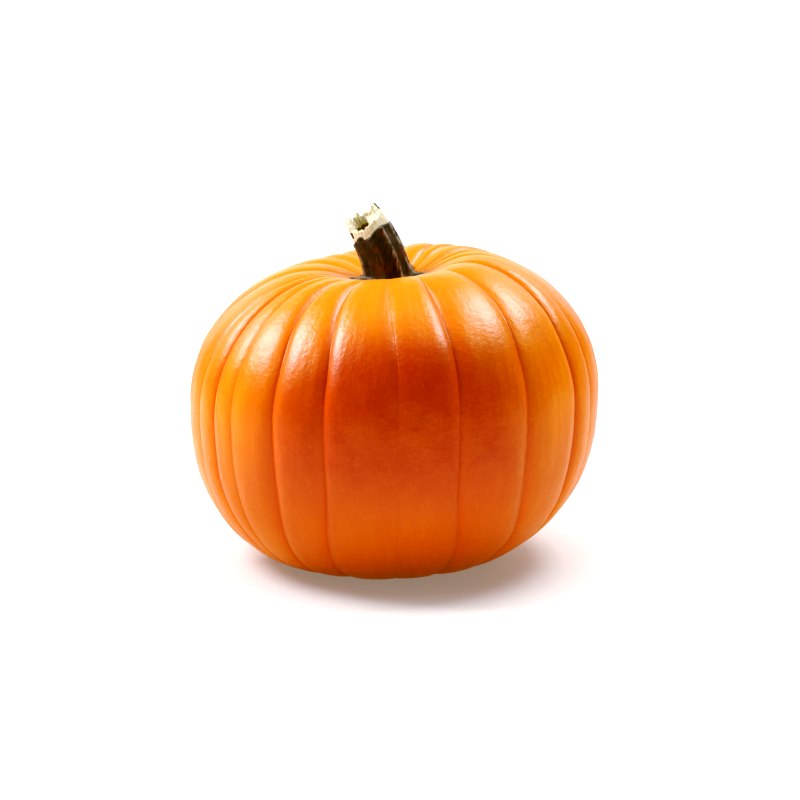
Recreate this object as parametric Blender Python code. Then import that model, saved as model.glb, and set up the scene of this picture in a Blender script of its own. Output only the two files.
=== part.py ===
# A ribbed orange pumpkin with its dark stem and the pale broken end of the stem.
# Metres, +Z up. The front is -Y, the right is +X. The fruit rests at z = 0, with the origin under
# the middle of its box.

import math

import bmesh
import bpy
from mathutils import Vector
from mathutils.bvhtree import BVHTree

COLLECTION = "pumpkin"

# The fruit without its grooves
HALF_WIDTH = 0.1305
HALF_DEPTH = 0.1250
WAIST_HEIGHT = 0.1062  # the widest ring, above the floor
TOP_RISE = 0.0925  # from the widest ring to the top, before the stem dimple
BOTTOM_DROP = 0.1172  # from the widest ring to the bottom, before the blossom dimple
SIDE_POWER = 2.37  # 2 is round, more is fuller
TOP_POWER = 2.1
BOTTOM_POWER = 2.42
RIGHT_FULLER = 0.042  # the share by which the right shoulder stands higher
BACK_FULLER = 0.036  # the share by which the back stands higher
RIGHT_SHALLOWER = 0.027  # the share by which the fruit hangs less deep on the right
SHOULDER_FROM_AXIS = 0.45  # the shoulders' heights differ fully past this share of the half width
UNDERSIDE_SPAN = (0.4, 0.85)  # shares of the half width over which RIGHT_SHALLOWER comes in
WAIST_TILT = 0.0037  # the right end of the widest ring is this much above the middle
STEM_DIMPLE_DEPTH = 0.0235
STEM_DIMPLE_WIDTH = 0.0363
BLOSSOM_DIMPLE_DEPTH = 0.0160
BLOSSOM_DIMPLE_WIDTH = 0.0430

# Each groove: its place round the widest ring from the front, in degrees to the right, how far it
# swings by the stem and by the base, its depth as a share of GROOVE_DEPTH, and how many millimetres
# the lobe after it stands proud at the shoulder
GROOVES = (
    (-69.0, 0, 3, 0.45, 0.5),
    (-59.3, -2, 5, 1.0, 0.0),
    (-50.0, -3, 0, 0.3, 0.0),
    (-34.8, -6, -4, 1.0, 0.0),
    (-19.2, -5, -4, 1.0, 0.0),
    (1.3, -4, 0, 0.4, 0.0),
    (18.3, -1, 4, 1.0, 0.3),
    (39.3, 5, 6, 0.85, 0.0),
    (60.5, 9, 6, 1.0, 0.0),
    (71.0, 8, 4, 0.45, -0.8),
    (89.0, 6, 3, 0.9, -1.6),
    (104.0, 4, 2, 0.5, -1.6),
    (118.0, 2, -3, 1.0, -0.5),
    (138.0, 0, -4, 0.7, 0.0),
    (154.0, -2, 0, 0.9, 0.0),
    (172.0, 0, 3, 0.5, 0.3),
    (190.0, 3, 4, 1.0, 0.0),
    (211.0, 2, 0, 0.7, -0.5),
    (231.0, -2, -4, 1.0, 0.7),
    (250.0, -3, -3, 0.55, 1.2),
    (272.0, -2, 0, 0.9, 0.6),
)
GROOVE_DEPTH = 0.0042
GROOVE_SHARPNESS = 5.0
SWING_BY_STEM = (math.radians(20), math.radians(70))  # where a groove's swing dies out, from the top
SWING_BY_BASE = (math.radians(100), math.radians(145))
GROOVE_RIM = 0.5  # grooves have faded out at this share of the half width, and further in
GROOVE_RIM_FRONT = 0.12  # less at the front by this, and more at the back
GROOVE_RIM_SPAN = 0.35
GROOVE_LEFT_BELOW = 0.5  # the share of a groove's depth that is left by the base
GROOVE_SOFTENS = (math.radians(97), math.radians(149))
LOBE_SWELL = 0.0016  # how far the middle of a lobe stands out from its edges
LOBE_COLUMNS = (0.0, 0.07, 0.2, 0.4, 0.6, 0.8, 0.93)  # where the mesh's columns lie across a lobe
RINGS = 35
SHOULDER = math.radians(36)
SHOULDER_WIDTH = math.radians(18)
POLE_REACH = 0.0005  # the rows at the two poles are shaped this far from them, in radians
SLOPE_STEP = 0.004  # radians between the two points that give the skin's slope

# The stem's bark
BARK_PATH = (  # the middle of the stem: to the right of the fruit's axis, and up from the dimple
    (-0.0036, 0.0),
    (-0.0040, 0.0075),
    (-0.0076, 0.0205),
    (-0.0134, 0.0330),
)
STEM_LEAN_TOP = math.radians(29)
STEM_LEAN_FOOT = math.radians(6)
FOOT_RADIUS = 0.0148
NECK_RADIUS = 0.0137
STEM_RIDGES = 5
RIDGE_HEIGHT = 0.0018
RIDGE_START = math.radians(-18)
RIDGE_SHARPNESS = 1.5
FOOT_REACH = 0.0072  # how far a foot spreads past the stem
FOOT_BETWEEN = 0.25  # the share of FOOT_REACH between two feet
FOOT_DECAY = 0.0075
FOOT_RISE_TOP = 0.0200  # above this height the stem no longer follows the dimple's slope
STEM_COLUMNS = 40
BARK_ROWS = 12
BARK_ROW_POWER = 1.3  # above 1 the rows stand closer by the feet
CAP_ROWS = 3
BARK_NOTCH_DEPTH = 0.0040
BARK_NOTCH_ANGLE = math.radians(-112)
BARK_NOTCH_WIDTH = math.radians(21)
EDGE_WAVES = ((3, 0.6, 0.0007), (7, 0.0, 0.0005))  # times round, start in radians, height

# The broken end
END_RADIUS = 0.0128
END_TAPER = 0.93
END_TIPS = (  # round the rim from the right, in degrees: how high the broken wall stands
    (0, 0.0128),
    (35, 0.0152),
    (70, 0.0138),
    (105, 0.0160),
    (140, 0.0142),
    (170, 0.0156),
    (200, 0.0110),
    (225, 0.0060),
    (250, 0.0034),
    (280, 0.0045),
    (305, 0.0085),
    (335, 0.0108),
)
END_WALL = 0.0042
END_HOLLOW = 0.0014  # the hollow's floor, above the bark's edge
RIM_ROUNDING = 0.0006
WALL_ROWS = 4
HOLLOW_ROWS = 3
HOLLOW_NARROWING = 0.15  # by this share from its mouth to its floor
FLOOR_RING = 0.4  # the ring on the hollow's floor, as a share of the mouth

GAP = 0.0003  # between pieces that touch
SEAT_SPREAD = 0.0015  # the stem clears the highest skin within this distance

SKIN_COLOUR = (0.83, 0.19, 0.01)
BARK_COLOUR = (0.03, 0.015, 0.01)
PITH_COLOUR = (0.72, 0.61, 0.36)


def smooth_step(value, low, high):
    t = min(max((value - low) / (high - low), 0.0), 1.0)
    return t * t * (3 - 2 * t)


def form(longitude, latitude):
    """The smooth fruit: (distance from the axis as a share of the half width, height above the waist)."""
    out = math.sin(latitude) ** (2 / SIDE_POWER)
    up = math.cos(latitude)
    right = math.sin(longitude)
    if up > 0:
        off_axis = math.sin(min(out / SHOULDER_FROM_AXIS, 1) * math.pi / 2)
        fuller = RIGHT_FULLER * right - BACK_FULLER * math.cos(longitude)
        height = TOP_RISE * (1 + fuller * off_axis) * up ** (2 / TOP_POWER)
        height -= STEM_DIMPLE_DEPTH * math.exp(-((out * HALF_WIDTH / STEM_DIMPLE_WIDTH) ** 2))
    else:
        shallower = RIGHT_SHALLOWER * right * smooth_step(out, *UNDERSIDE_SPAN)
        height = -BOTTOM_DROP * (1 - shallower) * (-up) ** (2 / BOTTOM_POWER)
        height += BLOSSOM_DIMPLE_DEPTH * math.exp(
            -((out * HALF_WIDTH / BLOSSOM_DIMPLE_WIDTH) ** 2)
        )
    return out, height + WAIST_TILT * right * math.sin(latitude)


def outward(longitude, latitude):
    """The direction square to the smooth fruit, as (away from the axis, up)."""
    before = form(longitude, max(latitude - SLOPE_STEP, POLE_REACH))
    after = form(longitude, min(latitude + SLOPE_STEP, math.pi - POLE_REACH))
    along = Vector(((after[0] - before[0]) * HALF_WIDTH, after[1] - before[1]))
    along.normalize()
    return -along.y, along.x


def lobe_at(column):
    """The groove before a column, the groove after it, and the place between them from 0 to 1."""
    lobe, place = divmod(column, len(LOBE_COLUMNS))
    after = (lobe + 1) % len(GROOVES)
    return GROOVES[lobe], GROOVES[after], LOBE_COLUMNS[place]


def groove_longitude(groove, latitude):
    angle, by_stem, by_base = groove[:3]
    angle += by_stem * (1 - smooth_step(latitude, *SWING_BY_STEM))
    angle += by_base * smooth_step(latitude, *SWING_BY_BASE)
    return angle


def fruit_point(column, latitude):
    before, after, place = lobe_at(column)
    start = groove_longitude(before, latitude)
    width = (groove_longitude(after, latitude) - start) % 360
    longitude = math.radians(start + place * width)
    out, height = form(longitude, latitude)
    # Grooves fade into both dimples, sooner at the front, and lower down the fruit
    rim = GROOVE_RIM + GROOVE_RIM_FRONT * math.cos(longitude)
    fade = smooth_step(out, rim - GROOVE_RIM_SPAN, rim)
    fade *= 1 - (1 - GROOVE_LEFT_BELOW) * smooth_step(latitude, *GROOVE_SOFTENS)
    from_start = max(1 - 2 * place, 0) ** GROOVE_SHARPNESS
    from_end = max(2 * place - 1, 0) ** GROOVE_SHARPNESS
    depth = GROOVE_DEPTH * (before[3] * from_start + after[3] * from_end)
    depth += LOBE_SWELL * (2 * place - 1) ** 2
    at_shoulder = math.exp(-(((latitude - SHOULDER) / SHOULDER_WIDTH) ** 2))
    depth -= before[4] / 1000 * at_shoulder * (1 - (2 * place - 1) ** 4)
    away, up = outward(longitude, latitude)
    reach = out - away * depth * fade / HALF_WIDTH
    level = height + WAIST_HEIGHT - up * depth * fade
    return Vector(
        (
            reach * HALF_WIDTH * math.sin(longitude),
            -reach * HALF_DEPTH * math.cos(longitude),
            max(level, 0.0),
        )
    )


def sphere_grid(columns, rows):
    """A sphere's mesh, and for each of its points the column and row that it stands in."""
    mesh = bmesh.new()
    bmesh.ops.create_uvsphere(mesh, u_segments=columns, v_segments=rows, radius=1)
    places = []
    for vertex in mesh.verts:
        around = math.atan2(vertex.co.y, vertex.co.x) % math.tau
        down = math.acos(max(-1.0, min(1.0, vertex.co.z)))
        column = round(around / math.tau * columns) % columns
        places.append((vertex, column, round(down / math.pi * rows)))
    return mesh, places


def finish(mesh, name, material, collection):
    bmesh.ops.triangulate(mesh, faces=mesh.faces, quad_method="SHORT_EDGE")
    bmesh.ops.recalc_face_normals(mesh, faces=mesh.faces)
    data = bpy.data.meshes.new(name)
    mesh.to_mesh(data)
    mesh.free()
    data.shade_smooth()
    data.materials.append(material)
    piece = bpy.data.objects.new(name, data)
    collection.objects.link(piece)
    return piece


def surface(name, colour, roughness):
    material = bpy.data.materials.new(name)
    material.use_nodes = True
    shader = material.node_tree.nodes["Principled BSDF"]
    shader.inputs["Base Color"].default_value = (*colour, 1)
    shader.inputs["Roughness"].default_value = roughness
    shader.inputs["Metallic"].default_value = 0
    return material


def make_fruit(collection):
    mesh, places = sphere_grid(len(GROOVES) * len(LOBE_COLUMNS), RINGS)
    for vertex, column, row in places:
        latitude = min(max(math.pi * row / RINGS, POLE_REACH), math.pi - POLE_REACH)
        vertex.co = fruit_point(column, latitude)
    for pole in (0, RINGS):
        for vertex, _, row in places:
            if row == pole:
                vertex.co.x = 0
                vertex.co.y = 0
    return finish(mesh, "fruit", surface("skin", SKIN_COLOUR, 0.4), collection)


def stem_frame(share):
    """The middle of the stem and its lean, at a share of the bark's length."""
    spans = len(BARK_PATH) - 1
    place = min(int(share * spans), spans - 1)
    local = share * spans - place
    points = [BARK_PATH[min(max(place + i, 0), spans)] for i in (-1, 0, 1, 2)]
    middle = []
    for axis in (0, 1):
        a, b, c, d = (point[axis] for point in points)
        curve = 2 * b + (c - a) * local
        curve += (2 * a - 5 * b + 4 * c - d) * local**2
        curve += (3 * b - a - 3 * c + d) * local**3
        middle.append(curve / 2)
    lean = STEM_LEAN_FOOT + (STEM_LEAN_TOP - STEM_LEAN_FOOT) * smooth_step(share, 0.0, 0.9)
    return middle, lean


def ridge(angle):
    """1 on the crest of a ridge and 0 in the channel between two, with narrow crests."""
    wave = 0.5 + 0.5 * math.cos(STEM_RIDGES * (angle - RIDGE_START))
    return wave**RIDGE_SHARPNESS


def place_on_stem(share, angle, radius, lift=0.0):
    """A point at a radius from the stem's middle, with lift along the stem's own direction."""
    (right, up), lean = stem_frame(share)
    across = radius * math.cos(angle)
    return Vector(
        (
            right + across * math.cos(lean) - lift * math.sin(lean),
            radius * math.sin(angle),
            up + across * math.sin(lean) + lift * math.cos(lean),
        )
    )


def angle_between(a, b):
    return (a - b + math.pi) % math.tau - math.pi


def bark_edge(angle, share_out):
    """How far the bark's broken edge stands from a flat cut, at a share of the end's radius."""
    notch = BARK_NOTCH_DEPTH * math.exp(
        -((angle_between(angle, BARK_NOTCH_ANGLE) / BARK_NOTCH_WIDTH) ** 2)
    )
    wave = sum(height * math.sin(times * angle + start) for times, start, height in EDGE_WAVES)
    return (wave - notch) * min(share_out, 1.0) ** 2


def bark_radius(angle, share):
    """The stem's radius at a share of the bark's length, with its ridges and its spreading feet."""
    height = share * BARK_PATH[-1][1]
    radius = FOOT_RADIUS + (NECK_RADIUS - FOOT_RADIUS) * share
    radius += RIDGE_HEIGHT * (ridge(angle) - 0.5)
    spread = FOOT_BETWEEN + (1 - FOOT_BETWEEN) * ridge(angle)
    return radius + FOOT_REACH * spread * math.exp(-height / FOOT_DECAY)


def make_stem(collection, ground):
    """Rows run from the middle of the underside out to the feet, up the bark, and in over the top."""
    rows = CAP_ROWS + BARK_ROWS + 1 + CAP_ROWS
    mesh, places = sphere_grid(STEM_COLUMNS, rows)
    seat = ground(0.0, 0.0)

    def skin_under(point):
        return GAP + max(
            ground(point.x + SEAT_SPREAD * right, point.y + SEAT_SPREAD * back)
            for right, back in ((0, 0), (1, 0), (-1, 0), (0, 1), (0, -1))
        )

    for vertex, column, row in places:
        angle = math.tau * column / STEM_COLUMNS
        step = rows - row
        climb = min(max(step - CAP_ROWS, 0), BARK_ROWS)
        share = (climb / BARK_ROWS) ** BARK_ROW_POWER
        radius = bark_radius(angle, share)
        lift = 0.0
        if step < CAP_ROWS:
            radius *= step / CAP_ROWS
        elif step >= CAP_ROWS + BARK_ROWS:
            if step > CAP_ROWS + BARK_ROWS:
                radius = END_RADIUS * (rows - step) / CAP_ROWS
            lift = bark_edge(angle, radius / END_RADIUS)
        point = place_on_stem(share, angle, radius, lift)
        foot = place_on_stem(0.0, angle, bark_radius(angle, 0.0))
        fading = 1 - smooth_step(share * BARK_PATH[-1][1], 0.0, FOOT_RISE_TOP)
        rise = (skin_under(foot) - seat) * fading
        point.z = max(point.z + seat + rise, skin_under(point)) if climb else skin_under(point)
        vertex.co = point
    return finish(mesh, "stem", surface("bark", BARK_COLOUR, 0.4), collection)


def rim_height(angle):
    degrees = math.degrees(angle) % 360
    closed = (*END_TIPS, (360, END_TIPS[0][1]))
    start, low = max(tip for tip in closed if tip[0] <= degrees)
    end, high = min(tip for tip in closed if tip[0] > degrees)
    return low + (high - low) * smooth_step(degrees, start, end)


def make_stem_end(collection, seat):
    """Rows run out under the end, up its wall, over the rim and down into the hollow."""
    top_of_wall = CAP_ROWS + WALL_ROWS
    rows = top_of_wall + 1 + HOLLOW_ROWS + 2
    mesh, places = sphere_grid(STEM_COLUMNS, rows)
    for vertex, column, row in places:
        angle = math.tau * column / STEM_COLUMNS
        step = rows - row
        rim = rim_height(angle)
        inner = END_RADIUS - END_WALL
        if step <= CAP_ROWS:
            radius = END_RADIUS * step / CAP_ROWS
            lift = bark_edge(angle, step / CAP_ROWS) + GAP
        elif step <= top_of_wall:
            climb = (step - CAP_ROWS) / WALL_ROWS
            radius = END_RADIUS * (1 + (END_TAPER - 1) * climb)
            low = bark_edge(angle, 1.0) + GAP
            lift = low + (rim - low) * climb
        elif step == top_of_wall + 1:
            radius = (END_RADIUS * END_TAPER + inner) / 2
            lift = rim + RIM_ROUNDING
        elif step <= top_of_wall + 1 + HOLLOW_ROWS:
            sink = (step - top_of_wall - 2) / (HOLLOW_ROWS - 1)
            radius = inner * (1 - HOLLOW_NARROWING * sink)
            lift = rim - RIM_ROUNDING + (END_HOLLOW - rim + RIM_ROUNDING) * sink
        else:
            radius = inner * FLOOR_RING * (rows - step)
            lift = END_HOLLOW - RIM_ROUNDING
        point = place_on_stem(1.0, angle, radius, lift)
        point.z += seat
        vertex.co = point
    return finish(mesh, "stem_end", surface("pith", PITH_COLOUR, 0.75), collection)


def main():
    for item in list(bpy.data.objects):
        bpy.data.objects.remove(item, do_unlink=True)
    collection = bpy.data.collections.new(COLLECTION)
    bpy.context.scene.collection.children.link(collection)
    fruit = make_fruit(collection)
    tree = BVHTree.FromPolygons(
        [vertex.co for vertex in fruit.data.vertices],
        [tuple(face.vertices) for face in fruit.data.polygons],
    )

    def ground(right, back):
        return tree.ray_cast(Vector((right, back, 1)), Vector((0, 0, -1)))[0].z

    make_stem(collection, ground)
    make_stem_end(collection, ground(0.0, 0.0))


main()
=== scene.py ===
import math

import bpy
import numpy as np
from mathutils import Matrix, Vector, noise
from mathutils.bvhtree import BVHTree


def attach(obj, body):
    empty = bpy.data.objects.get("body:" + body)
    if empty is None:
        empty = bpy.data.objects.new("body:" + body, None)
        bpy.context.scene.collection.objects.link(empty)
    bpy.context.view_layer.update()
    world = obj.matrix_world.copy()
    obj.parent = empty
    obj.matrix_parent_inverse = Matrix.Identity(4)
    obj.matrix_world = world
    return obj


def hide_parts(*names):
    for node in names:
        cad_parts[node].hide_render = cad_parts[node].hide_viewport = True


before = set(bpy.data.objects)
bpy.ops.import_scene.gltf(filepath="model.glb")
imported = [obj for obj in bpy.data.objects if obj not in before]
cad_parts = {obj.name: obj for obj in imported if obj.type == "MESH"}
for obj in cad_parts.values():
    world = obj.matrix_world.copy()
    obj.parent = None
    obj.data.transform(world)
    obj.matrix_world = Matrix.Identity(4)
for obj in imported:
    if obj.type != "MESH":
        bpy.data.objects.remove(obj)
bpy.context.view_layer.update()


# Small helpers for shapes

def smoothStep(value, low, high):
    t = np.clip((value - low) / (high - low), 0.0, 1.0)
    return t * t * (3 - 2 * t)


def pointsOf(piece):
    flat = np.empty(len(piece.data.vertices) * 3)
    piece.data.vertices.foreach_get("co", flat)
    return flat.reshape(-1, 3)


def movePoints(piece, points):
    piece.data.vertices.foreach_set("co", np.ascontiguousarray(points, dtype=float).ravel())
    piece.data.update()


def markPoints(piece, name, values):
    layer = piece.data.attributes.new(name, "FLOAT", "POINT")
    layer.data.foreach_set("value", np.asarray(values, dtype=np.float32))


def noiseAt(points, size, seed):
    # a smooth random height from -1 to 1 at each point, with lumps of about this size
    shift = Vector((seed * 17.3, seed * 5.1, seed * 9.7))
    return np.array([noise.noise(Vector(point) / size + shift) for point in points])


def startPiece(name):
    piece = bpy.context.object
    piece.name = name
    piece.data.name = name
    return piece


def finishPiece(piece, node, material):
    # closes seams and poles, turns the faces outwards and hands the piece to the frame
    bpy.ops.object.mode_set(mode="EDIT")
    bpy.ops.mesh.select_all(action="SELECT")
    bpy.ops.mesh.remove_doubles(threshold=0.00001)
    bpy.ops.mesh.normals_make_consistent(inside=False)
    bpy.ops.mesh.select_all(action="DESELECT")
    bpy.ops.object.mode_set(mode="OBJECT")
    bpy.ops.object.shade_smooth()
    piece.data.materials.clear()
    piece.data.materials.append(material)
    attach(piece, "root")
    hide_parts(node)
    piece.data.calc_loop_triangles()
    print(piece.name, "has", len(piece.data.loop_triangles), "triangles")


def applyModifier(piece, kind, **settings):
    modifier = piece.modifiers.new(kind.lower(), kind)
    for name, value in settings.items():
        setattr(modifier, name, value)
    bpy.ops.object.modifier_apply(modifier=modifier.name)


# Shader helpers

class Signal:
    # one output of a node, so that shader maths reads as plain sums
    def __init__(self, finish, socket):
        self.finish = finish
        self.socket = socket

    def math(self, operation, first, second):
        return self.finish.node("ShaderNodeMath", {"operation": operation}, {0: first, 1: second})

    def __add__(self, other):
        return self.math("ADD", self, other)

    def __radd__(self, other):
        return self.math("ADD", other, self)

    def __rsub__(self, other):
        return self.math("SUBTRACT", other, self)

    def __mul__(self, other):
        return self.math("MULTIPLY", self, other)

    def __rmul__(self, other):
        return self.math("MULTIPLY", other, self)


class Finish:
    # a material with its Principled shader
    def __init__(self, name, constants):
        self.material = bpy.data.materials.new(name)
        self.material.use_nodes = True
        self.nodes = self.material.node_tree.nodes
        self.links = self.material.node_tree.links
        self.shader = self.nodes["Principled BSDF"]
        for socket, value in constants.items():
            self.shader.inputs[socket].default_value = value

    def node(self, kind, settings=None, sockets=None, output=0):
        made = self.nodes.new(kind)
        for name, value in (settings or {}).items():
            setattr(made, name, value)
        for name, value in (sockets or {}).items():
            self.feed(made.inputs[name], value)
        return Signal(self, made.outputs[output])

    def feed(self, socket, value):
        if isinstance(value, Signal):
            self.links.new(value.socket, socket)
        elif isinstance(value, tuple) and socket.type == "RGBA":
            socket.default_value = (*value, 1)
        else:
            socket.default_value = value

    def mix(self, amount, first, second):
        return self.node("ShaderNodeMix", {"data_type": "RGBA"}, {0: amount, 6: first, 7: second}, output=2)

    def between(self, value, low, high):
        # 0 below low, 1 above high, and smooth between them
        return self.node(
            "ShaderNodeMapRange",
            {"interpolation_type": "SMOOTHSTEP"},
            {"Value": value, "From Min": low, "From Max": high},
        )

    def cloud(self, place, scale, detail=2.0, roughness=0.5):
        return self.node(
            "ShaderNodeTexNoise",
            None,
            {"Vector": place, "Scale": scale, "Detail": detail, "Roughness": roughness},
        )

    def stretched(self, place, scale):
        return self.node("ShaderNodeMapping", None, {"Vector": place, "Scale": scale})

    def mark(self, name):
        return self.node("ShaderNodeAttribute", {"attribute_name": name}, output="Fac")

    def bump(self, height, distance, strength=1.0, under=None):
        sockets = {"Height": height, "Distance": distance, "Strength": strength}
        if under is not None:
            sockets["Normal"] = under
        return self.node("ShaderNodeBump", None, sockets)


# The camera, at the photograph's angle

camera = {
    "target": (0.0038, 0.0, 0.10115),
    "elevation": 12.32,
    "distance": 1.4976,
    "lens": 105.3,
}


def makeCamera():
    up = math.radians(camera["elevation"])
    back = Vector((0, -math.cos(up), math.sin(up)))
    bpy.ops.object.camera_add(location=Vector(camera["target"]) + back * camera["distance"])
    made = bpy.context.object
    made.rotation_euler = back.to_track_quat("Z", "Y").to_euler()
    made.data.lens = camera["lens"]
    made.data.sensor_width = 36
    bpy.context.scene.camera = made


# The studio: a white floor that glows away from the fruit and less under it, a painted shadow, two soft
# boxes with a shine each, and a pale card behind

studio = {
    "floorColour": (0.58, 0.58, 0.58),
    "floorGlow": (0.20, 1.0),  # under the fruit, where the weaker glow paints the fruit's shadow, and far from it
    # where the painted shadow round the fruit fades into the far glow, as distances in metres
    "paintedShadowRange": (0.085, 0.215),
    "worldColour": (1.0, 1.0, 1.0),
    "worldStrength": 0.12,
    "softBoxes": (
        # name, direction from the fruit, distance, width, height, power; a shine adds to the gloss alone
        ("left box", (-0.75, 0.05, 0.79), 1.1, 0.44, 0.48, 16.5),
        ("right box", (0.47, 0.18, 0.86), 1.1, 0.46, 0.40, 10.5),
        ("left shine", (-0.77, 0.05, 0.77), 1.1, 0.50, 0.40, 10),
        ("right shine", (0.47, 0.18, 0.86), 1.1, 0.50, 0.44, 9),
        ("back card", (0.0, 0.94, 0.30), 1.7, 2.6, 1.0, 17),
    ),
    # the photograph's contrast, as (from, to) points for red, green and blue in linear light
    "contrast": (
        ((0.0, 0.0), (0.03, 0.010), (0.10, 0.065), (0.25, 0.225), (0.45, 0.45), (1.0, 1.0)),
        ((0.0, 0.0), (0.03, 0.008), (0.07, 0.033), (0.13, 0.088), (0.23, 0.215), (1.0, 1.0)),
        ((0.0, 0.0), (0.04, 0.001), (0.10, 0.026), (0.22, 0.165), (0.42, 0.42), (1.0, 1.0)),
    ),
}


def makeStudio():
    bpy.ops.mesh.primitive_plane_add(size=60, location=(0, 0, -0.0002))
    floor = startPiece("floor")
    finish = Finish("floor", {"Base Color": (*studio["floorColour"], 1), "Roughness": 0.8,
                              "Specular IOR Level": 0.1, "Emission Strength": 1.0})
    place = finish.node("ShaderNodeTexCoord", output="Object")
    away = finish.node("ShaderNodeVectorMath", {"operation": "LENGTH"}, {0: place}, output="Value")
    # the floor glows less near the fruit: a painted shadow round it
    near, far = ((level,) * 3 for level in studio["floorGlow"])
    glow = finish.mix(finish.between(away, *studio["paintedShadowRange"]), near, far)
    finish.feed(finish.shader.inputs["Emission Color"], glow)
    floor.data.materials.append(finish.material)
    world = bpy.data.worlds.new("studio")
    world.use_nodes = True
    background = world.node_tree.nodes["Background"]
    background.inputs["Color"].default_value = (*studio["worldColour"], 1)
    background.inputs["Strength"].default_value = studio["worldStrength"]
    bpy.context.scene.world = world
    middle = Vector((0, 0, 0.1))
    for name, direction, distance, width, height, power in studio["softBoxes"]:
        away = Vector(direction).normalized()
        bpy.ops.object.light_add(type="AREA", location=middle + away * distance)
        box = bpy.context.object
        box.name = name
        box.data.shape = "RECTANGLE"
        box.data.size = width
        box.data.size_y = height
        box.data.energy = power
        box.visible_camera = False
        box.visible_diffuse = "shine" not in name
        box.rotation_euler = away.to_track_quat("Z", "Y").to_euler()
    look = bpy.context.scene.view_settings
    look.view_transform = "Standard"
    look.use_curve_mapping = True
    for curve, points in zip(look.curve_mapping.curves, studio["contrast"]):
        for place, height in points[1:-1]:
            curve.points.new(place, height)
    look.curve_mapping.update()
    print("camera and studio are set")


# The fruit

fruit = {
    "halfWidth": 0.1305,
    "halfDepth": 0.1250,
    "waist": 0.1062,
    "topRise": 0.0925,
    "bottomDrop": 0.1172,
    "sidePower": 2.37,
    "topPower": 2.1,
    "bottomPower": 2.42,
    "rightFuller": 0.042,
    "backFuller": 0.036,
    "rightShallower": 0.027,
    "waistTilt": 0.0037,
    "stemDimple": (0.0235, 0.0363),
    "blossomDimple": (0.0160, 0.0430),
    # place in degrees, swing by the stem, swing by the base, depth as a share, shoulder in mm, and which
    # side is steeper: the right one above 0, the left one below
    "grooves": (
        (-69.0, 0, 3, 0.45, 0.5, 0.2),
        (-59.3, -2, 5, 1.0, 0.0, 0.4),
        (-50.0, -3, 0, 0.3, 0.0, 0.3),
        (-34.8, -6, -4, 1.0, 0.0, 0.4),
        (-19.2, -5, -4, 1.0, 0.0, 0.55),
        (1.3, -4, 0, 0.3, 0.0, 0.3),
        (18.3, -1, 4, 1.0, 0.3, -0.55),
        (39.3, 5, 6, 0.85, 0.0, -0.1),
        (60.5, 9, 6, 1.0, 0.0, -0.4),
        (71.0, 8, 4, 0.45, -0.8, -0.3),
        (89.0, 6, 3, 0.9, -1.6, -0.4),
        (104.0, 4, 2, 0.5, -1.6, 0.2),
        (118.0, 2, -3, 1.0, -0.5, 0.4),
        (138.0, 0, -4, 0.7, 0.0, -0.3),
        (154.0, -2, 0, 0.9, 0.0, 0.3),
        (172.0, 0, 3, 0.5, 0.3, 0.1),
        (190.0, 3, 4, 1.0, 0.0, -0.5),
        (211.0, 2, 0, 0.7, -0.5, 0.2),
        (231.0, -2, -4, 1.0, 0.7, 0.4),
        (250.0, -3, -3, 0.55, 1.2, -0.2),
        (272.0, -2, 0, 0.9, 0.6, 0.3),
    ),
    # faint lines on the lobes: place, from and to this far down in degrees, depth in mm, half width
    "faintLines": (
        (-24.5, 50, 94, 0.35, 1.5),
        (-42.5, 48, 130, 0.22, 1.8),
        (-9.5, 60, 150, 0.12, 2.2),
        (10.5, 40, 80, 0.14, 2.4),
        (27.0, 42, 94, 0.45, 1.6),
        (49.5, 45, 128, 0.22, 1.8),
        (80.0, 40, 120, 0.3, 1.9),
        (97.0, 50, 135, 0.25, 1.6),
        (128.5, 44, 118, 0.4, 1.7),
        (146.0, 55, 140, 0.25, 1.9),
        (163.0, 40, 110, 0.35, 1.6),
        (181.0, 50, 130, 0.25, 2.0),
        (201.0, 42, 105, 0.4, 1.7),
        (221.5, 52, 140, 0.3, 1.8),
        (241.0, 44, 120, 0.3, 1.6),
        (261.0, 50, 132, 0.35, 1.9),
        (281.0, 40, 110, 0.25, 1.8),
    ),
    "grooveDepth": 0.0027,
    "grooveWidth": 0.0052,
    "creaseDepth": 0.0005,
    "creaseWidth": 0.0009,
    "lipHeight": 0.00022,
    "swell": 0.0004,
    "across": (0, 0.012, 0.03, 0.055, 0.09, 0.14, 0.2, 0.27, 0.35, 0.43,
               0.5, 0.57, 0.65, 0.73, 0.8, 0.86, 0.91, 0.945, 0.97, 0.988),
    "rings": 236,
    "lumps": (0.045, 0.0011),
    "dents": (0.014, 0.00028),
}


def smoothFruit(longitude, down):
    # distance from the axis as a share of the half width, and height above the waist
    out = np.sin(down) ** (2 / fruit["sidePower"])
    up = np.cos(down)
    right = np.sin(longitude)
    offAxis = np.sin(np.minimum(out / 0.45, 1) * math.pi / 2)
    fuller = fruit["rightFuller"] * right - fruit["backFuller"] * np.cos(longitude)
    depth, width = fruit["stemDimple"]
    above = fruit["topRise"] * (1 + fuller * offAxis) * np.abs(up) ** (2 / fruit["topPower"])
    above = above - depth * np.exp(-((out * fruit["halfWidth"] / width) ** 2))
    depth, width = fruit["blossomDimple"]
    shallower = fruit["rightShallower"] * right * smoothStep(out, 0.4, 0.85)
    below = -fruit["bottomDrop"] * (1 - shallower) * np.abs(up) ** (2 / fruit["bottomPower"])
    below = below + depth * np.exp(-((out * fruit["halfWidth"] / width) ** 2))
    return out, np.where(up > 0, above, below) + fruit["waistTilt"] * right * np.sin(down)


def grooveLongitude(groove, down):
    by = smoothStep(down, math.radians(20), math.radians(70))
    base = smoothStep(down, math.radians(100), math.radians(145))
    return groove[0] + groove[1] * (1 - by) + groove[2] * base


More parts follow.
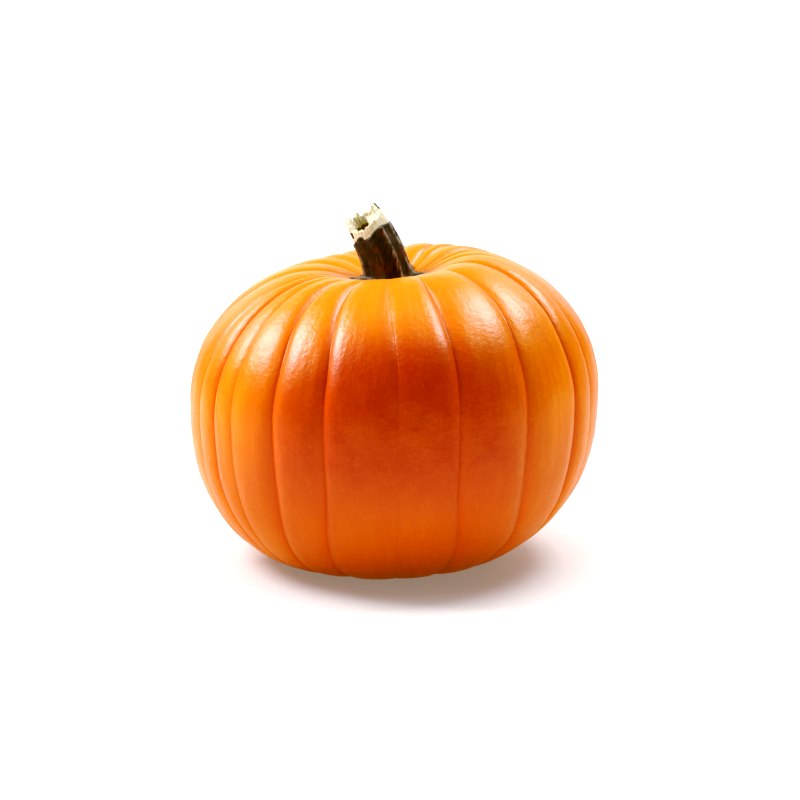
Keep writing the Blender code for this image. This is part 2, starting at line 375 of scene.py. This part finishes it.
def shapeFruit(column, down):
    # where each point of the skin lies, and how deep in a valley it is from 0 to 1
    grooves = np.array(fruit["grooves"], dtype=float)
    places = np.array(fruit["across"])
    lobe = column // len(places)
    p = places[column % len(places)]
    before = grooves[lobe].T
    after = grooves[(lobe + 1) % len(grooves)].T
    start = grooveLongitude(before, down)
    width = (grooveLongitude(after, down) - start) % 360
    longitude = np.radians(start + p * width)
    out, height = smoothFruit(longitude, down)
    metres = np.radians(width) * np.maximum(out, 0.03) * fruit["halfWidth"]

    rim = 0.5 + 0.12 * np.cos(longitude)
    inside = 0.07 + 0.20 * smoothStep(-np.cos(longitude), 0.2, 0.8)
    fade = (1 - inside) * smoothStep(out, rim - 0.35, rim) + inside * smoothStep(out, 0.1, 0.34)
    fade = fade * (1 - 0.5 * smoothStep(down, 1.7, 2.6))
    room = np.clip(metres / 0.034, 0.12, 1.0)
    valley = np.zeros_like(p)
    crease = np.zeros_like(p)
    lip = np.zeros_like(p)
    for groove, side, away in ((before, 1, p * metres), (after, -1, (1 - p) * metres)):
        wide = fruit["grooveWidth"] * room * (1 - 0.5 * side * groove[5])
        valley = valley + groove[3] * np.exp(-((away / wide) ** 1.3))
        crease = crease + groove[3] ** 0.7 * np.exp(-away / (fruit["creaseWidth"] * room))
        steep = np.maximum(side * groove[5], 0) * groove[3]
        lip = lip + steep * np.exp(-(((away - 1.9 * wide) / wide) ** 2))
    depth = fruit["grooveDepth"] * valley + fruit["creaseDepth"] * crease
    depth = depth + fruit["swell"] * (2 * p - 1) ** 2 - fruit["lipHeight"] * lip
    atShoulder = np.exp(-(((down - math.radians(36)) / math.radians(18)) ** 2))
    depth = depth - before[4] / 1000 * atShoulder * (1 - (2 * p - 1) ** 4)
    lines = np.zeros_like(depth)
    degrees = np.degrees(longitude)
    for place, high, low, deep, half in fruit["faintLines"]:
        away = (degrees - place + 180) % 360 - 180
        along = smoothStep(down, math.radians(high), math.radians(high + 14))
        along = along * (1 - smoothStep(down, math.radians(low - 18), math.radians(low)))
        lines = lines + deep / 1000 * along * np.exp(-((away / half) ** 2))
    depth = depth * fade + lines

    step = 0.004
    outA, heightA = smoothFruit(longitude, np.maximum(down - step, 0.0005))
    outB, heightB = smoothFruit(longitude, np.minimum(down + step, math.pi - 0.0005))
    runOut = (outB - outA) * fruit["halfWidth"]
    runUp = heightB - heightA
    length = np.hypot(runOut, runUp)
    reach = out + runUp / length * depth / fruit["halfWidth"]
    level = height + fruit["waist"] - runOut / length * depth
    pole = (down < 0.001) | (down > math.pi - 0.001)
    reach = np.where(pole, 0, reach)
    points = np.stack(
        (
            reach * fruit["halfWidth"] * np.sin(longitude),
            -reach * fruit["halfDepth"] * np.cos(longitude),
            level,
        ),
        axis=1,
    )
    return points, np.clip(valley, 0, 1) * fade, np.clip(crease, 0, 1) * fade


def makeFruit(material):
    columns = len(fruit["grooves"]) * len(fruit["across"])
    bpy.ops.mesh.primitive_uv_sphere_add(segments=columns, ring_count=fruit["rings"], radius=1)
    piece = startPiece("pumpkinSkin")
    ball = pointsOf(piece)
    around = np.arctan2(ball[:, 1], ball[:, 0]) % math.tau
    column = np.round(around / math.tau * columns).astype(int) % columns
    row = np.round(np.arccos(np.clip(ball[:, 2], -1, 1)) / math.pi * fruit["rings"])
    down = np.clip(row / fruit["rings"] * math.pi, 0.0005, math.pi - 0.0005)
    points, valley, crease = shapeFruit(column, down)
    movePoints(piece, points)
    markPoints(piece, "valley", valley)
    markPoints(piece, "crease", crease)
    for name, (size, height) in (("lumps", fruit["lumps"]), ("dents", fruit["dents"])):
        pattern = bpy.data.textures.new(name, "CLOUDS")
        pattern.noise_scale = size
        pattern.noise_depth = 1
        applyModifier(piece, "DISPLACE", texture=pattern, texture_coords="LOCAL", strength=height)
    points = pointsOf(piece)
    points[:, 2] = np.maximum(points[:, 2], 0)
    movePoints(piece, points)
    finishPiece(piece, "fruit", material)
    return piece


skinLook = {
    "plain": ((0.79, 0.160, 0.002), (0.88, 0.222, 0.003)),
    "blotch": (0.79, 0.138, 0.002),
    # painted shade, darker and redder towards the bottom at the front
    "low": (0.58, 0.074, 0.001),
    # mostly painted shade at the front, partly the skin's own redder tone
    "redAndShade": (0.53, 0.036, 0.001),
    # valley and crease: deeper tones in the grooves, partly the skin's own, partly painted shade
    "valley": (0.66, 0.075, 0.001),
    "crease": (0.52, 0.05, 0.001),
    # partly the skin's own yellower top, partly painted light
    "high": (0.90, 0.255, 0.006),
    "grit": ((0.90, 0.25, 0.006), (0.66, 0.09, 0.001)),
    # the redder, darker part at the front, mostly painted shade and partly the skin's own redder tone, in
    # metres: where it starts and where it is full
    "redShadeForward": (-0.072, -0.112),
    "redShadeFrom": (0.040, 0.090),
    "redShadeTo": (0.188, 0.152),
    # the painted shade at the lower front, in metres: where it starts and where it is full
    "lowShadeForward": (-0.02, -0.10),
    "lowShadeUnder": (0.12, 0.06),
    # the lighter top, partly painted light, in metres: where it starts and where it is full
    "highFrom": (0.150, 0.192),
    # sizes of the patterns, as noise scales
    "streaks": 11.0,
    "blotches": 16.0,
    "mottles": 75.0,
    "grits": 330.0,
    "ripples": (290.0, 0.00035),  # with the height in metres
    "longRipples": (16.0, 0.0004),
    "pores": (480.0, 0.00012),
}


def skinFinish():
    look = skinLook
    finish = Finish("skin", {"IOR": 1.5, "Specular IOR Level": 0.42})
    place = finish.node("ShaderNodeTexCoord", output="Object")
    valley = finish.mark("valley")
    crease = finish.mark("crease")
    split = finish.node("ShaderNodeSeparateXYZ", None, {0: place})
    y, z = (Signal(finish, split.socket.node.outputs[axis]) for axis in "YZ")
    # streaks that run from the stem to the base: the direction round the axis, with little height
    flat = finish.node("ShaderNodeVectorMath", {"operation": "MULTIPLY"}, {0: place, 1: (1, 1, 0)})
    around = finish.node("ShaderNodeVectorMath", {"operation": "NORMALIZE"}, {0: flat})
    raised = finish.node("ShaderNodeCombineXYZ", None, {"Z": z * 1.6})
    along = finish.node("ShaderNodeVectorMath", {"operation": "ADD"}, {0: around, 1: raised})
    streak = finish.cloud(along, look["streaks"], 6.0, 0.68)
    blotch = finish.cloud(place, look["blotches"], 3.0, 0.55)
    mottle = finish.cloud(place, look["mottles"], 4.0, 0.6)
    grit = finish.cloud(place, look["grits"], 3.0, 0.7)
    tone = finish.mix(finish.between(streak, 0.36, 0.64), *look["plain"])
    tone = finish.mix(finish.between(blotch, 0.42, 0.72) * 0.5, tone, look["blotch"])
    # darker and redder towards the bottom at the front: painted shade
    low = finish.between(y, *look["lowShadeForward"]) * finish.between(z, *look["lowShadeUnder"])
    tone = finish.mix(low * 0.8, tone, look["low"])
    # the redder, darker patch at the front: mostly painted shade, partly the skin's own redder tone
    front = finish.between(y + 0.012 * blotch, *look["redShadeForward"])
    level = finish.between(z, *look["redShadeFrom"]) * finish.between(z, *look["redShadeTo"])
    tone = finish.mix(front * level * (0.62 + 0.6 * mottle), tone, look["redAndShade"])
    # deeper colour in the valleys and along the creases: partly the skin's own deeper orange, partly
    # painted shade
    tone = finish.mix(finish.between(valley, 0.1, 0.9) * 0.55, tone, look["valley"])
    tone = finish.mix(crease * 0.45, tone, look["crease"])
    # lighter, yellower towards the top: partly the skin's own tone, partly painted light, kept off the
    # painted shade at the front
    tone = finish.mix(finish.between(z, *look["highFrom"]) * (1 - 0.8 * front * level) * 0.5, tone,
                      look["high"])
    tone = finish.mix(finish.between(grit, 0.54, 0.76) * 0.16, tone, look["grit"][0])
    tone = finish.mix(finish.between(grit, 0.44, 0.26) * 0.25, tone, look["grit"][1])
    finish.feed(finish.shader.inputs["Base Color"], tone)
    finish.feed(finish.shader.inputs["Roughness"], 0.28 + 0.12 * blotch + 0.18 * mottle)
    scale, height = look["longRipples"]
    normal = finish.bump(finish.cloud(along, scale, 3.0, 0.5), height)
    scale, height = look["ripples"]
    normal = finish.bump(finish.cloud(place, scale, 3.0, 0.6), height, under=normal)
    scale, height = look["pores"]
    normal = finish.bump(finish.cloud(place, scale, 2.0, 0.6), height, under=normal)
    finish.feed(finish.shader.inputs["Normal"], normal)
    return finish.material


# The stem's bark

bark = {
    "path": ((-0.0036, 0.0), (-0.0040, 0.0075), (-0.0076, 0.0205), (-0.0134, 0.0330)),
    "leanFoot": 6,
    "leanTop": 29,
    "footRadius": 0.0144,
    "neckRadius": 0.0137,
    # ribs that run up the stem: place in degrees from the right, height in mm, half width in degrees
    "ribs": (
        (-163, 2.1, 17),
        (-124, 0.7, 8),
        (-93, 1.3, 15),
        (-57, 1.9, 9),
        (-18, 2.2, 16),
        (14, 0.7, 8),
        (50, 2.0, 17),
        (88, 0.8, 8),
        (124, 2.0, 16),
        (160, 0.7, 7),
    ),
    "footReach": 0.0078,
    "footDecay": 0.0075,
    "toeHeight": 0.0050,
    # the left toe: place and half width in degrees, and how much longer and higher it is as shares
    "leftToe": (-165, 36, 0.30, 0.45),
    "footRiseTop": 0.0200,
    # how far the bark's broken edge stands above a flat cut: place in degrees, height in mm
    "edge": (
        (-180, 0.3), (-150, 1.3), (-127, 3.3), (-120, 3.0), (-114, 0.2), (-104, 0.0), (-96, 0.4),
        (-87, 1.6), (-78, 2.3), (-66, 2.8), (-53, 3.2), (-37, 2.4), (-15, 1.6), (5, 1.2),
        (30, 2.4), (48, 0.6), (80, 1.8), (96, 0.2), (118, 1.4), (150, 0.4), (180, 0.3),
    ),
    "endRadius": 0.0128,
    "columns": 180,
    "rows": 64,
    "gap": 0.0003,
    "fullRib": 0.0020,
}


def stepped(heights, angle):
    # a smooth line round the stem through (degrees, height) points
    table = np.array(heights, dtype=float)
    degrees = (np.degrees(angle) - table[0, 0]) % 360 + table[0, 0]
    after = np.clip(np.searchsorted(table[:, 0], degrees, side="right"), 1, len(table) - 1)
    before = after - 1
    share = smoothStep(degrees, table[before, 0], table[after, 0])
    return table[before, 1] + (table[after, 1] - table[before, 1]) * share


def stemAxis(share):
    # the stem's middle and its lean at each share of its length
    path = np.array(bark["path"])
    spans = len(path) - 1
    place = np.minimum((share * spans).astype(int), spans - 1)
    local = (share * spans - place)[:, None]
    a, b, c, d = (path[np.clip(place + i, 0, spans)] for i in (-1, 0, 1, 2))
    middle = 2 * b + (c - a) * local + (2 * a - 5 * b + 4 * c - d) * local**2
    middle = (middle + (3 * b - a - 3 * c + d) * local**3) / 2
    lean = bark["leanFoot"] + (bark["leanTop"] - bark["leanFoot"]) * smoothStep(share, 0.0, 0.9)
    return middle[:, 0], middle[:, 1], np.radians(lean)


def onStem(share, angle, radius, lift):
    right, up, lean = stemAxis(share)
    across = radius * np.cos(angle)
    return np.stack(
        (
            right + across * np.cos(lean) - lift * np.sin(lean),
            radius * np.sin(angle),
            up + across * np.sin(lean) + lift * np.cos(lean),
        ),
        axis=1,
    )


def ribHeight(angle):
    # metres above the channels between the ribs
    degrees = np.degrees(angle)
    total = np.zeros_like(angle)
    for place, height, half in bark["ribs"]:
        away = np.abs((degrees - place + 180) % 360 - 180)
        total = total + height / 1000 * np.exp(-((away / half) ** 1.6))
    return total


def barkEdge(angle, shareOut):
    return stepped(bark["edge"], angle) / 1000 * np.minimum(shareOut, 1) ** 2


def addTube(name, columns, rows, closed):
    # a standing tube one unit high and one unit in radius, cut into this many rows
    fill = "TRIFAN" if closed else "NOTHING"
    bpy.ops.mesh.primitive_cylinder_add(vertices=columns, radius=1, depth=1, end_fill_type=fill,
                                        location=(0, 0, 0))
    piece = startPiece(name)
    bpy.ops.object.mode_set(mode="EDIT")
    bpy.ops.mesh.select_mode(type="EDGE")
    bpy.ops.mesh.select_all(action="DESELECT")
    bpy.ops.object.mode_set(mode="OBJECT")
    for edge in piece.data.edges:
        low, high = (piece.data.vertices[i].co for i in edge.vertices)
        edge.select = abs(low.z - high.z) > 0.5
    bpy.ops.object.mode_set(mode="EDIT")
    bpy.ops.mesh.subdivide(number_cuts=rows - 1)
    bpy.ops.mesh.select_all(action="DESELECT")
    bpy.ops.object.mode_set(mode="OBJECT")
    return piece


def makeStem(material, ground):
    piece = addTube("stemBark", bark["columns"], bark["rows"], closed=True)
    tube = pointsOf(piece)
    angle = np.arctan2(tube[:, 1], tube[:, 0])
    share = (tube[:, 2] + 0.5) ** 1.15
    centre = np.hypot(tube[:, 0], tube[:, 1]) < 0.5
    ribs = ribHeight(angle)
    height = share * bark["path"][-1][1]
    radius = bark["footRadius"] + (bark["neckRadius"] - bark["footRadius"]) * share
    radius = radius + ribs * (1 - 0.25 * share) - 0.0007
    crest = np.clip(ribs / bark["fullRib"], 0, 1)
    spread = 0.25 + 0.75 * crest
    place, half, longer, higher = bark["leftToe"]
    away = (np.degrees(angle) - place + 180) % 360 - 180
    nearToe = np.exp(-((away / half) ** 2))
    toeHeight = bark["toeHeight"] * (1 + higher * nearToe)
    toe = 0.45 * np.exp(-height / bark["footDecay"]) + 0.55 / (1 + (height / toeHeight) ** 4)
    foot = bark["footReach"] * (1 + longer * nearToe) * spread * toe
    grain = noiseAt(np.stack((np.cos(angle) * 9, np.sin(angle) * 9, share * 3), axis=1), 1.0, 3)
    knots = noiseAt(np.stack((np.cos(angle) * 3, np.sin(angle) * 3, share * 8), axis=1), 1.0, 8)
    radius = radius + foot + 0.00035 * grain + 0.0003 * knots
    atTop = share > 0.999
    radius = np.where(atTop, bark["endRadius"] + 0.0004, radius)
    radius = np.where(centre, 0, radius)
    topEdge = barkEdge(angle, np.ones_like(angle))
    lift = np.where(centre, 0, topEdge * smoothStep(share, 0.72, 1.0))
    points = onStem(share, angle, radius, lift)
    # the feet stand on the skin, which rises away from the axis
    seat = ground(0.0, 0.0)
    skinBelow = np.array([ground(x, y) for x, y, z in points])
    follow = 1 - smoothStep(height, 0.0, bark["footRiseTop"])
    upright = stemAxis(share)[1]
    level = upright + (points[:, 2] - upright) * (1 - follow)
    points[:, 2] = np.maximum(points[:, 2], level) + seat + (skinBelow - seat) * follow
    under = skinBelow + bark["gap"]
    points[:, 2] = np.where(share < 0.001, under, np.maximum(points[:, 2], under))
    movePoints(piece, points)
    markPoints(piece, "rib", crest)
    markPoints(piece, "climb", share)
    finishPiece(piece, "stem", material)
    return seat


barkLook = {
    "grain": ((0.010, 0.007, 0.011), (0.052, 0.042, 0.056)),  # in the furrows and on the fibres
    "reddish": (0.11, 0.038, 0.046),
    # paler rib crests: partly the ribs' own bark, partly painted highlight
    "crest": (0.42, 0.35, 0.33),
    "foot": (0.075, 0.08, 0.055),
    "speck": (0.35, 0.33, 0.24),
    # noise scales, and how far the grain is stretched up the stem
    "grains": 520.0,
    "patches": 130.0,
    "specks": 700.0,
    "stretch": (1.0, 1.0, 0.22),
}


def barkFinish():
    look = barkLook
    finish = Finish("bark", {"IOR": 1.45})
    place = finish.node("ShaderNodeTexCoord", output="Object")
    rib = finish.mark("rib")
    climb = finish.mark("climb")
    grain = finish.cloud(finish.stretched(place, look["stretch"]), look["grains"], 5.0, 0.65)
    patch = finish.cloud(place, look["patches"], 3.0, 0.6)
    speck = finish.cloud(place, look["specks"], 2.0, 0.7)
    tone = finish.mix(finish.between(grain, 0.35, 0.68), *look["grain"])
    tone = finish.mix(finish.between(patch, 0.5, 0.66) * 0.7, tone, look["reddish"])
    # paler on the rib crests: partly the ribs' own bark, partly painted highlight
    crest = finish.between(rib, 0.55, 0.9) * finish.between(grain, 0.4, 0.6)
    tone = finish.mix(crest * 0.8, tone, look["crest"])
    low = 1 - finish.between(climb, 0.05, 0.32)
    tone = finish.mix(low * 0.75 * finish.between(patch, 0.38, 0.6), tone, look["foot"])
    tone = finish.mix(low * finish.between(speck, 0.6, 0.75) * 0.8, tone, look["speck"])
    finish.feed(finish.shader.inputs["Base Color"], tone)
    finish.feed(finish.shader.inputs["Roughness"], 0.42 + 0.35 * grain)
    normal = finish.bump(grain, 0.0006, 0.9)
    normal = finish.bump(speck, 0.0002, 0.6, under=normal)
    finish.feed(finish.shader.inputs["Normal"], normal)
    return finish.material


# The pale broken end of the stem

brokenEnd = {
    "radius": 0.0128,
    "taper": 0.93,
    # round the rim from the right, in degrees: how high the broken wall stands, in mm
    "tips": (
        (-180, 14.6), (-165, 12.0), (-150, 8.0), (-135, 5.9), (-110, 6.2), (-95, 6.8), (-75, 7.2),
        (-60, 8.2), (-42, 8.0), (-25, 9.6), (-12, 9.0), (0, 10.4), (18, 13.5), (32, 16.0),
        (46, 14.6), (62, 12.6), (80, 13.6), (98, 12.2), (110, 15.8), (122, 13.4), (138, 14.4),
        (155, 12.8), (168, 15.8), (180, 14.6),
    ),
    "wall": 0.0036,
    "hollow": 0.0014,
    "columns": 180,
    "rows": {"under": 4, "outer": 26, "rim": 5, "inner": 22, "floor": 12},
    "gap": 0.0003,
}


def makeBrokenEnd(material, seat):
    counts = brokenEnd["rows"]
    total = sum(counts.values())
    piece = addTube("stemEnd", brokenEnd["columns"], total, closed=False)
    tube = pointsOf(piece)
    angle = np.arctan2(tube[:, 1], tube[:, 0])
    row = np.round((tube[:, 2] + 0.5) * total)
    outerRadius = brokenEnd["radius"]
    ragged = noiseAt(np.stack((np.cos(angle) * 5, np.sin(angle) * 5, 0 * angle), axis=1), 1.0, 4)
    fine = noiseAt(np.stack((np.cos(angle) * 16, np.sin(angle) * 16, 0 * angle), axis=1), 1.0, 6)
    rim = stepped(brokenEnd["tips"], angle) / 1000 + 0.0007 * ragged + 0.0004 * fine
    thick = brokenEnd["wall"] * (1 + 0.35 * ragged)
    bottom = barkEdge(angle, np.ones_like(angle)) + brokenEnd["gap"]
    top = outerRadius * brokenEnd["taper"]
    inner = top - thick
    radius = np.zeros_like(angle)
    lift = np.zeros_like(angle)
    first = 0
    for name, rows in counts.items():
        t = np.clip((row - first) / rows, 0, 1)
        here = (row >= first) & (row <= first + rows)
        if name == "under":
            radius = np.where(here, outerRadius * t, radius)
            lift = np.where(here, barkEdge(angle, t) + brokenEnd["gap"], lift)
        elif name == "outer":
            radius = np.where(here, outerRadius + (top - outerRadius) * t, radius)
            lift = np.where(here, bottom + (rim - bottom) * t, lift)
        elif name == "rim":
            radius = np.where(here, top - thick * t, radius)
            lift = np.where(here, rim - 0.0006 * np.sin(t * math.pi) * fine, lift)
        elif name == "inner":
            radius = np.where(here, inner * (1 - 0.12 * t), radius)
            lift = np.where(here, rim + (brokenEnd["hollow"] - rim) * t, lift)
        else:
            radius = np.where(here, inner * 0.88 * (1 - t), radius)
            lift = np.where(here, brokenEnd["hollow"], lift)
        first += rows
    # the inside: a pale lump fills its right half, and the hollow is left of it
    inside = row >= counts["under"] + counts["outer"] + counts["rim"]
    right = radius * np.cos(angle)
    back = radius * np.sin(angle)
    spot = np.stack((right, back, 0 * right), axis=1)
    rough = noiseAt(spot, 0.0022, 2)
    lump = 0.0086 * smoothStep(right + 0.15 * back, -0.0002, 0.0020) * smoothStep(back, -0.0085, -0.004)
    floor = brokenEnd["hollow"] + lump + 0.0014 * rough * smoothStep(lump, 0, 0.002)
    lift = np.where(inside, np.maximum(lift, np.minimum(floor, rim)), lift)
    # how low each point lies inside the hollow, from 0 to 1, for the painted shade there
    depth = np.where(inside, 1 - smoothStep(lift + 0.0006 * rough, 0.0064, 0.0078), 0)
    wood = noiseAt(np.stack((right / 0.0012, back / 0.0012, lift / 0.006), axis=1), 1.0, 5)
    outside = row > counts["under"]
    radius = radius + np.where(outside & (radius > 0.002), 0.00035 * wood, 0)
    points = onStem(np.ones_like(angle), angle, radius, lift)
    points[:, 2] += seat
    movePoints(piece, points)
    degrees = np.degrees(angle) % 360
    onWall = row <= counts["under"] + counts["outer"] + 1
    leftBit = np.exp(-(((degrees - 195) / 16) ** 2)) * smoothStep(lift, 0.0030, 0.0042)
    leftBit = leftBit * (1 - smoothStep(lift, 0.0072, 0.0084))
    backBit = np.exp(-(((degrees - 24) / 18) ** 2)) * smoothStep(lift, 0.0090, 0.0104)
    markPoints(piece, "hollow", depth)
    markPoints(piece, "barkLeft", np.where(onWall, leftBit + backBit, 0))
    finishPiece(piece, "stem_end", material)


pithLook = {
    "fibre": ((0.60, 0.50, 0.29), (0.86, 0.80, 0.60)),
    "grey": (0.62, 0.60, 0.52),
    # painted shade on the lower inside of the hollow
    "hollow": (0.30, 0.20, 0.07),
    "barkLeft": (0.022, 0.015, 0.010),
    # noise scales, and how far the fibres are stretched up the stem
    "fibres": 900.0,
    "patches": 260.0,
    "stretch": (1.0, 1.0, 0.3),
}


def pithFinish():
    look = pithLook
    finish = Finish("pith", {"IOR": 1.42})
    place = finish.node("ShaderNodeTexCoord", output="Object")
    hollow = finish.mark("hollow")
    barkLeft = finish.mark("barkLeft")
    fibre = finish.cloud(finish.stretched(place, look["stretch"]), look["fibres"], 4.0, 0.6)
    patch = finish.cloud(place, look["patches"], 3.0, 0.6)
    tone = finish.mix(finish.between(fibre, 0.3, 0.7), *look["fibre"])
    tone = finish.mix(finish.between(patch, 0.55, 0.72) * 0.6, tone, look["grey"])
    # painted shade darkens the lower inside of the hollow
    tone = finish.mix(finish.between(hollow, 0.25, 0.75), tone, look["hollow"])
    tone = finish.mix(finish.between(barkLeft, 0.35, 0.5), tone, look["barkLeft"])
    finish.feed(finish.shader.inputs["Base Color"], tone)
    finish.feed(finish.shader.inputs["Roughness"], 0.6 + 0.3 * fibre)
    finish.feed(finish.shader.inputs["Normal"], finish.bump(fibre, 0.0006, 0.8))
    return finish.material


bpy.ops.object.select_all(action="DESELECT")
makeCamera()
makeStudio()
bpy.ops.object.select_all(action="DESELECT")
skin = makeFruit(skinFinish())
print("fruit is made")
tree = BVHTree.FromPolygons(
    [vertex.co for vertex in skin.data.vertices],
    [tuple(face.vertices) for face in skin.data.polygons],
)


def skinUnder(right, back):
    return tree.ray_cast(Vector((right, back, 1)), Vector((0, 0, -1)))[0].z


bpy.ops.object.select_all(action="DESELECT")
seatHeight = makeStem(barkFinish(), skinUnder)
bpy.ops.object.select_all(action="DESELECT")
makeBrokenEnd(pithFinish(), seatHeight)
print("stem is made")
